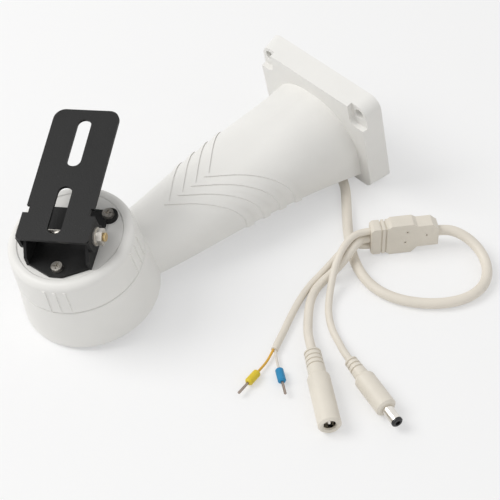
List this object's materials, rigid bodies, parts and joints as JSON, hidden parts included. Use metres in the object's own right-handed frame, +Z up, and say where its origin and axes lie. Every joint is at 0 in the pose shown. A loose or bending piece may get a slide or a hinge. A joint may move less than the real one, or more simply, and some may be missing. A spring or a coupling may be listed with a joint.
{
  "type": "motorised pan and tilt camera bracket",
  "caption": "Wall arm with a motorised turning head, a tilting slotted camera plate and a cable that splits into a power plug, a power jack and a data pair.",
  "frame": {"origin": "bottom centre of the box of the rigid parts as the bracket lies on a table, on its head's low edge and its wall plate's low edge", "axes": "+Z up from the table; +X along the arm in plan, from the head to the wall plate; +Y to the left of that. The arm and the head's axis lean by 10.96 degrees about Y"},
  "size_m": [0.2078, 0.2043, 0.0841],
  "materials": {
    "casting": "white satin powder coat on a casting",
    "casting_cover": "white moulded plastic",
    "screws": "nickel plated steel",
    "motor_can": "plated steel can",
    "steel_shaft": "turned steel",
    "board": "green circuit board",
    "board_blocks": "black moulded parts",
    "bushing": "sintered bronze",
    "seal": "black rubber",
    "switches": "black moulded switch bodies",
    "gear": "natural acetal",
    "black_steel": "satin black powder coat on 1.5 mm sheet steel",
    "cable_jacket": "cream flexible PVC",
    "moulding": "cream overmoulded PVC",
    "wire_yellow": "yellow PVC insulation",
    "wire_white": "white PVC insulation",
    "contact": "nickel or tin plated contact",
    "tip_black": "black moulded insulator",
    "sleeve_yellow": "yellow crimp sleeve",
    "sleeve_blue": "blue crimp sleeve"
  },
  "bodies": {
    "housing": {"bracket_housing": "casting", "bottom_cover": "casting_cover", "bottom_cover_screws": "screws", "pan_motor": "motor_can", "pan_motor_screws": "screws", "control_board": "board", "board_parts": "board_blocks", "board_screws": "screws", "pan_retaining_screw": "screws", "seam_seal": "seal", "limit_switches": "switches", "main_cable": "cable_jacket", "lead_data": "cable_jacket", "lead_jack": "cable_jacket", "lead_plug": "cable_jacket", "wire_yellow": "wire_yellow", "wire_white": "wire_white", "splitter_block": "moulding", "jack_body": "moulding", "jack_contact_sleeve": "contact", "jack_pin": "contact", "plug_body": "moulding", "plug_barrel": "contact", "plug_tip_insulator": "tip_black", "ferrule_sleeve_yellow": "sleeve_yellow", "ferrule_sleeve_blue": "sleeve_blue", "ferrule_pins": "contact"},
    "turntable": {"rotating_cap": "casting", "u_bracket_screws": "screws", "ring_gear": "gear", "ring_gear_screws": "screws", "pan_bushing": "bushing", "u_bracket": "black_steel"},
    "pinion": {"drive_pinion": "gear", "motor_shaft": "steel_shaft"},
    "tilt": {"tilt_plate": "black_steel", "tilt_bolt": "screws", "tilt_washer": "screws", "tilt_spring_washer": "screws", "tilt_nut": "screws"}
  },
  "joints": [
    {"name": "pan", "type": "hinge", "parent": "housing", "child": "turntable", "pos_m": [-0.07221, -0.00227, 0.03994], "axis": [-0.1901, 0, 0.9818], "range_deg": [-34.5, 320.5]},
    {"name": "pinion_spin", "type": "hinge", "parent": "housing", "child": "pinion", "pos_m": [-0.08971, -0.00227, 0.03349], "axis": [-0.1901, 0, 0.9818], "range_deg": [-160, 1390]},
    {"name": "tilt", "type": "hinge", "parent": "turntable", "child": "tilt", "pos_m": [-0.08204, -0.00657, 0.05902], "axis": [0.5701, -0.8141, 0.1104], "range_deg": [-26, 38]}
  ],
  "couplings": [
    {"joint": "pinion_spin", "follows": "pan", "ratio": 4.2857}
  ]
}
